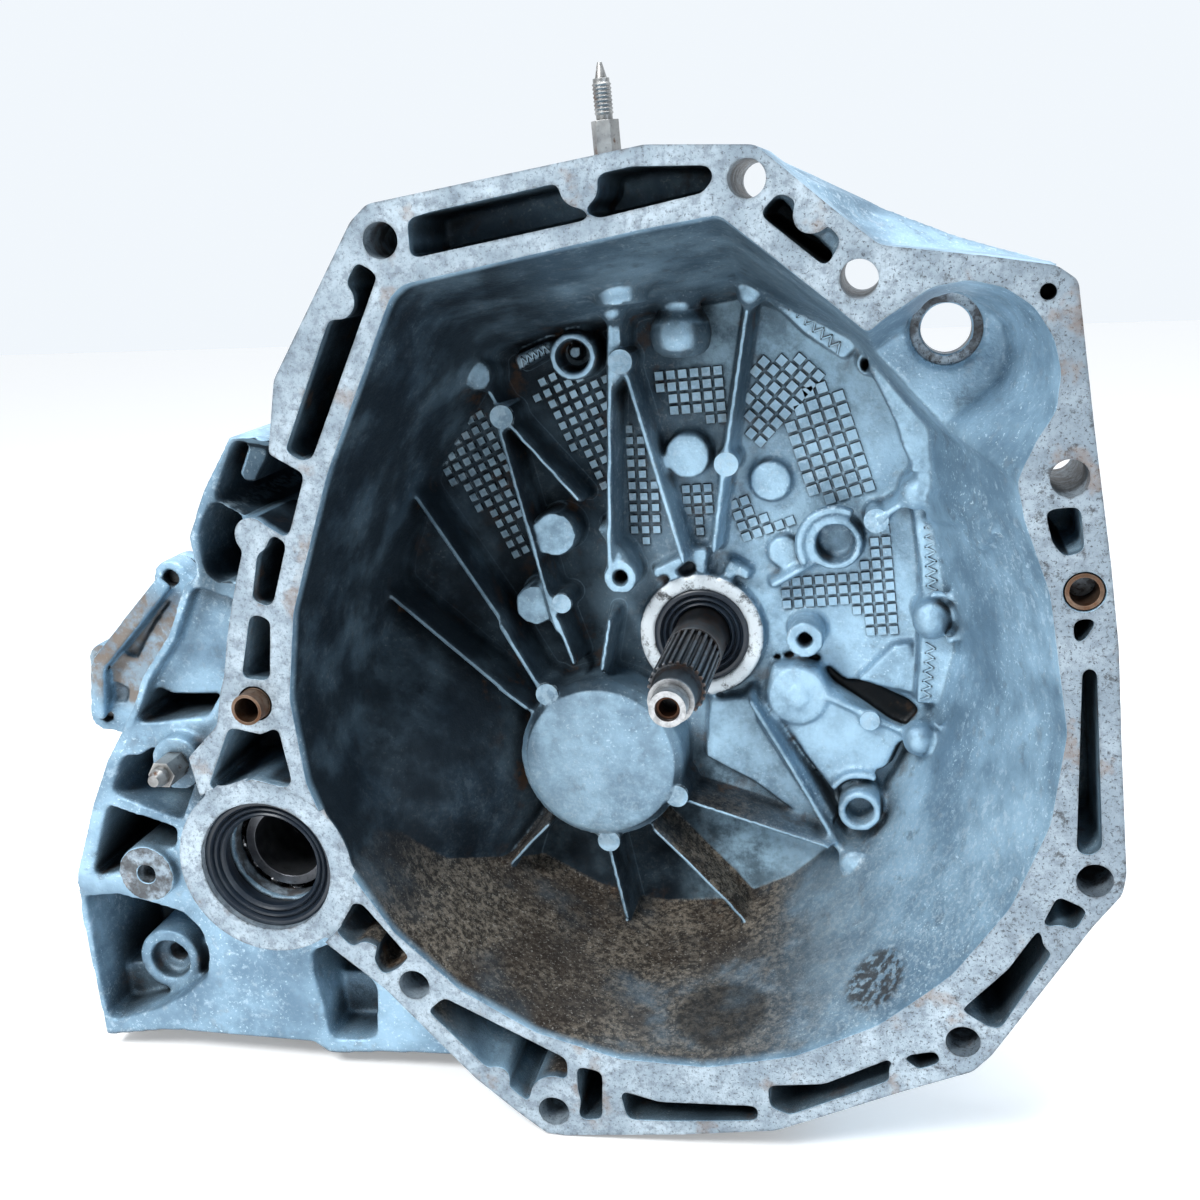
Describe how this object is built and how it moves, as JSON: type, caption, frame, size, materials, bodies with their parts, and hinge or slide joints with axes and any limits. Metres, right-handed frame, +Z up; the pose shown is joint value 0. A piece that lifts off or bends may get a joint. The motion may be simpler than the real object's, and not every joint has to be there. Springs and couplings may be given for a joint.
{
  "type": "manual transmission",
  "caption": "Transverse manual transmission: open bell housing with splined input shaft, gear case, synchronised gear train, selector and built-in differential.",
  "frame": {"origin": "input shaft axis on the engine flange face", "axes": "+X right seen from the engine, +Y from the engine flange into the gearbox along the input shaft, +Z up"},
  "size_m": [0.489, 0.353, 0.4365],
  "materials": {
    "cast_aluminium": "cast, satin, with bright machined faces",
    "machined_steel": "ground and oiled",
    "gear_steel": "case hardened, dark",
    "bearing_steel": "polished",
    "zinc_steel": "zinc plated, weathered",
    "bronze": "satin",
    "black_rubber": "matte",
    "black_plastic": "moulded",
    "rusty_steel": "light rust"
  },
  "bodies": {
    "housing": {"breather": "black_plastic", "case_bolts": "zinc_steel", "clutch_housing": "cast_aluminium", "diff_bearing_balls": "bearing_steel", "diff_bearing_outer_races": "bearing_steel", "differential_seals": "black_rubber", "dowel_sleeves": "rusty_steel", "end_cover": "cast_aluminium", "end_cover_bolts": "zinc_steel", "gear_case": "cast_aluminium", "input_bearing_balls": "bearing_steel", "input_bearing_outer_races": "bearing_steel", "input_shaft_seal": "black_rubber", "oil_plugs": "zinc_steel", "output_bearing_balls": "bearing_steel", "output_bearing_outer_races": "bearing_steel", "reverse_idler_shaft": "machined_steel", "reverse_light_switch": "black_plastic", "selector_cover": "cast_aluminium", "selector_cover_bolts": "zinc_steel", "side_mount_stud": "zinc_steel", "speed_sensor": "black_plastic", "top_mount_stud": "zinc_steel"},
    "input_shaft_group": {"input_shaft": "machined_steel", "input_gear_fourth": "gear_steel", "input_gear_fifth": "gear_steel", "input_bearing_inner_races": "bearing_steel"},
    "output_shaft_group": {"output_shaft": "machined_steel", "hub_one_two": "machined_steel", "hub_three_four": "machined_steel", "hub_five_reverse": "machined_steel", "synchro_rings": "bronze", "output_bearing_inner_races": "bearing_steel"},
    "differential_group": {"differential_carrier": "machined_steel", "ring_gear": "gear_steel", "ring_gear_bolts": "zinc_steel", "cross_pin": "machined_steel"},
    "gear_first": {"gear_first": "gear_steel"},
    "gear_second": {"gear_second": "gear_steel"},
    "gear_third": {"gear_third": "gear_steel"},
    "gear_fourth": {"gear_fourth": "gear_steel"},
    "gear_fifth": {"gear_fifth": "gear_steel"},
    "gear_reverse": {"gear_reverse": "gear_steel"},
    "reverse_idler": {"reverse_idler_gear": "gear_steel"},
    "sleeve_one_two": {"sleeve_one_two": "machined_steel"},
    "fork_one_two": {"fork_one_two": "machined_steel", "rod_one_two": "machined_steel"},
    "sleeve_three_four": {"sleeve_three_four": "machined_steel"},
    "fork_three_four": {"fork_three_four": "machined_steel", "rod_three_four": "machined_steel"},
    "sleeve_five_reverse": {"sleeve_five_reverse": "machined_steel"},
    "fork_five_reverse": {"fork_five_reverse": "machined_steel", "rod_five_reverse": "machined_steel"},
    "interlock": {"interlock_sleeve": "machined_steel"},
    "selector": {"selector_shaft": "machined_steel", "shift_lever": "machined_steel"},
    "side_gear_front": {"side_gear_front": "gear_steel"},
    "side_gear_rear": {"side_gear_rear": "gear_steel"},
    "bevel_pinion_left": {"bevel_pinion_left": "gear_steel"},
    "bevel_pinion_right": {"bevel_pinion_right": "gear_steel"}
  },
  "joints": [
    {"name": "input_spin", "type": "hinge", "parent": "housing", "child": "input_shaft_group", "pos_m": [0, 0.2, 0], "axis": [0, 1, 0], "continuous": true},
    {"name": "output_spin", "type": "hinge", "parent": "housing", "child": "output_shaft_group", "pos_m": [-0.04453, 0.2, -0.05658], "axis": [0, 1, 0], "continuous": true},
    {"name": "differential_spin", "type": "hinge", "parent": "housing", "child": "differential_group", "pos_m": [-0.17615, 0.108, -0.07569], "axis": [0, 1, 0], "continuous": true},
    {"name": "reverse_idler_spin", "type": "hinge", "parent": "housing", "child": "reverse_idler", "pos_m": [0.04032, 0.159, -0.0342], "axis": [0, 1, 0], "continuous": true},
    {"name": "gear_first_spin", "type": "hinge", "parent": "housing", "child": "gear_first", "pos_m": [-0.04453, 0.2, -0.05658], "axis": [0, 1, 0], "continuous": true},
    {"name": "gear_second_spin", "type": "hinge", "parent": "housing", "child": "gear_second", "pos_m": [-0.04453, 0.2, -0.05658], "axis": [0, 1, 0], "continuous": true},
    {"name": "gear_third_spin", "type": "hinge", "parent": "housing", "child": "gear_third", "pos_m": [-0.04453, 0.2, -0.05658], "axis": [0, 1, 0], "continuous": true},
    {"name": "gear_fourth_spin", "type": "hinge", "parent": "housing", "child": "gear_fourth", "pos_m": [-0.04453, 0.2, -0.05658], "axis": [0, 1, 0], "continuous": true},
    {"name": "gear_fifth_spin", "type": "hinge", "parent": "housing", "child": "gear_fifth", "pos_m": [-0.04453, 0.2, -0.05658], "axis": [0, 1, 0], "continuous": true},
    {"name": "gear_reverse_spin", "type": "hinge", "parent": "housing", "child": "gear_reverse", "pos_m": [-0.04453, 0.2, -0.05658], "axis": [0, 1, 0], "continuous": true},
    {"name": "fork_one_two_slide", "type": "slide", "parent": "housing", "child": "fork_one_two", "axis": [0, 1, 0], "range_m": [-0.005, 0.005]},
    {"name": "sleeve_one_two_slide", "type": "slide", "parent": "output_shaft_group", "child": "sleeve_one_two", "axis": [0, 1, 0], "range_m": [-0.005, 0.005]},
    {"name": "fork_three_four_slide", "type": "slide", "parent": "housing", "child": "fork_three_four", "axis": [0, 1, 0], "range_m": [-0.005, 0.005]},
    {"name": "sleeve_three_four_slide", "type": "slide", "parent": "output_shaft_group", "child": "sleeve_three_four", "axis": [0, 1, 0], "range_m": [-0.005, 0.005]},
    {"name": "fork_five_reverse_slide", "type": "slide", "parent": "housing", "child": "fork_five_reverse", "axis": [0, 1, 0], "range_m": [-0.005, 0.005]},
    {"name": "sleeve_five_reverse_slide", "type": "slide", "parent": "output_shaft_group", "child": "sleeve_five_reverse", "axis": [0, 1, 0], "range_m": [-0.005, 0.005]},
    {"name": "select_slide", "type": "slide", "parent": "housing", "child": "interlock", "axis": [0, 0, 1], "range_m": [-0.0165, 0.0165]},
    {"name": "shift_turn", "type": "hinge", "parent": "interlock", "child": "selector", "pos_m": [-0.092, 0.2, 0.034], "axis": [0, 0, 1], "range_deg": [-25, 25]},
    {"name": "side_gear_front_spin", "type": "hinge", "parent": "differential_group", "child": "side_gear_front", "pos_m": [-0.17615, 0.108, -0.07569], "axis": [0, 1, 0], "continuous": true},
    {"name": "side_gear_rear_spin", "type": "hinge", "parent": "differential_group", "child": "side_gear_rear", "pos_m": [-0.17615, 0.108, -0.07569], "axis": [0, 1, 0], "continuous": true},
    {"name": "bevel_pinion_right_spin", "type": "hinge", "parent": "differential_group", "child": "bevel_pinion_right", "pos_m": [-0.17615, 0.108, -0.07569], "axis": [1, 0, 0], "continuous": true},
    {"name": "bevel_pinion_left_spin", "type": "hinge", "parent": "differential_group", "child": "bevel_pinion_left", "pos_m": [-0.17615, 0.108, -0.07569], "axis": [1, 0, 0], "continuous": true}
  ],
  "couplings": [
    {"joint": "differential_spin", "follows": "output_spin", "ratio": -0.2459},
    {"joint": "reverse_idler_spin", "follows": "input_spin", "ratio": -0.42424},
    {"joint": "gear_first_spin", "follows": "input_spin", "ratio": -0.28},
    {"joint": "gear_second_spin", "follows": "input_spin", "ratio": -0.52381},
    {"joint": "gear_third_spin", "follows": "input_spin", "ratio": -0.82857},
    {"joint": "gear_fourth_spin", "follows": "input_spin", "ratio": -1.1333},
    {"joint": "gear_fifth_spin", "follows": "input_spin", "ratio": -1.4615},
    {"joint": "gear_reverse_spin", "follows": "input_spin", "ratio": 0.31111},
    {"joint": "sleeve_one_two_slide", "follows": "fork_one_two_slide", "ratio": 1},
    {"joint": "sleeve_three_four_slide", "follows": "fork_three_four_slide", "ratio": 1},
    {"joint": "sleeve_five_reverse_slide", "follows": "fork_five_reverse_slide", "ratio": 1},
    {"joint": "side_gear_rear_spin", "follows": "side_gear_front_spin", "ratio": -1},
    {"joint": "bevel_pinion_right_spin", "follows": "side_gear_front_spin", "ratio": 1.6},
    {"joint": "bevel_pinion_left_spin", "follows": "side_gear_front_spin", "ratio": -1.6}
  ]
}
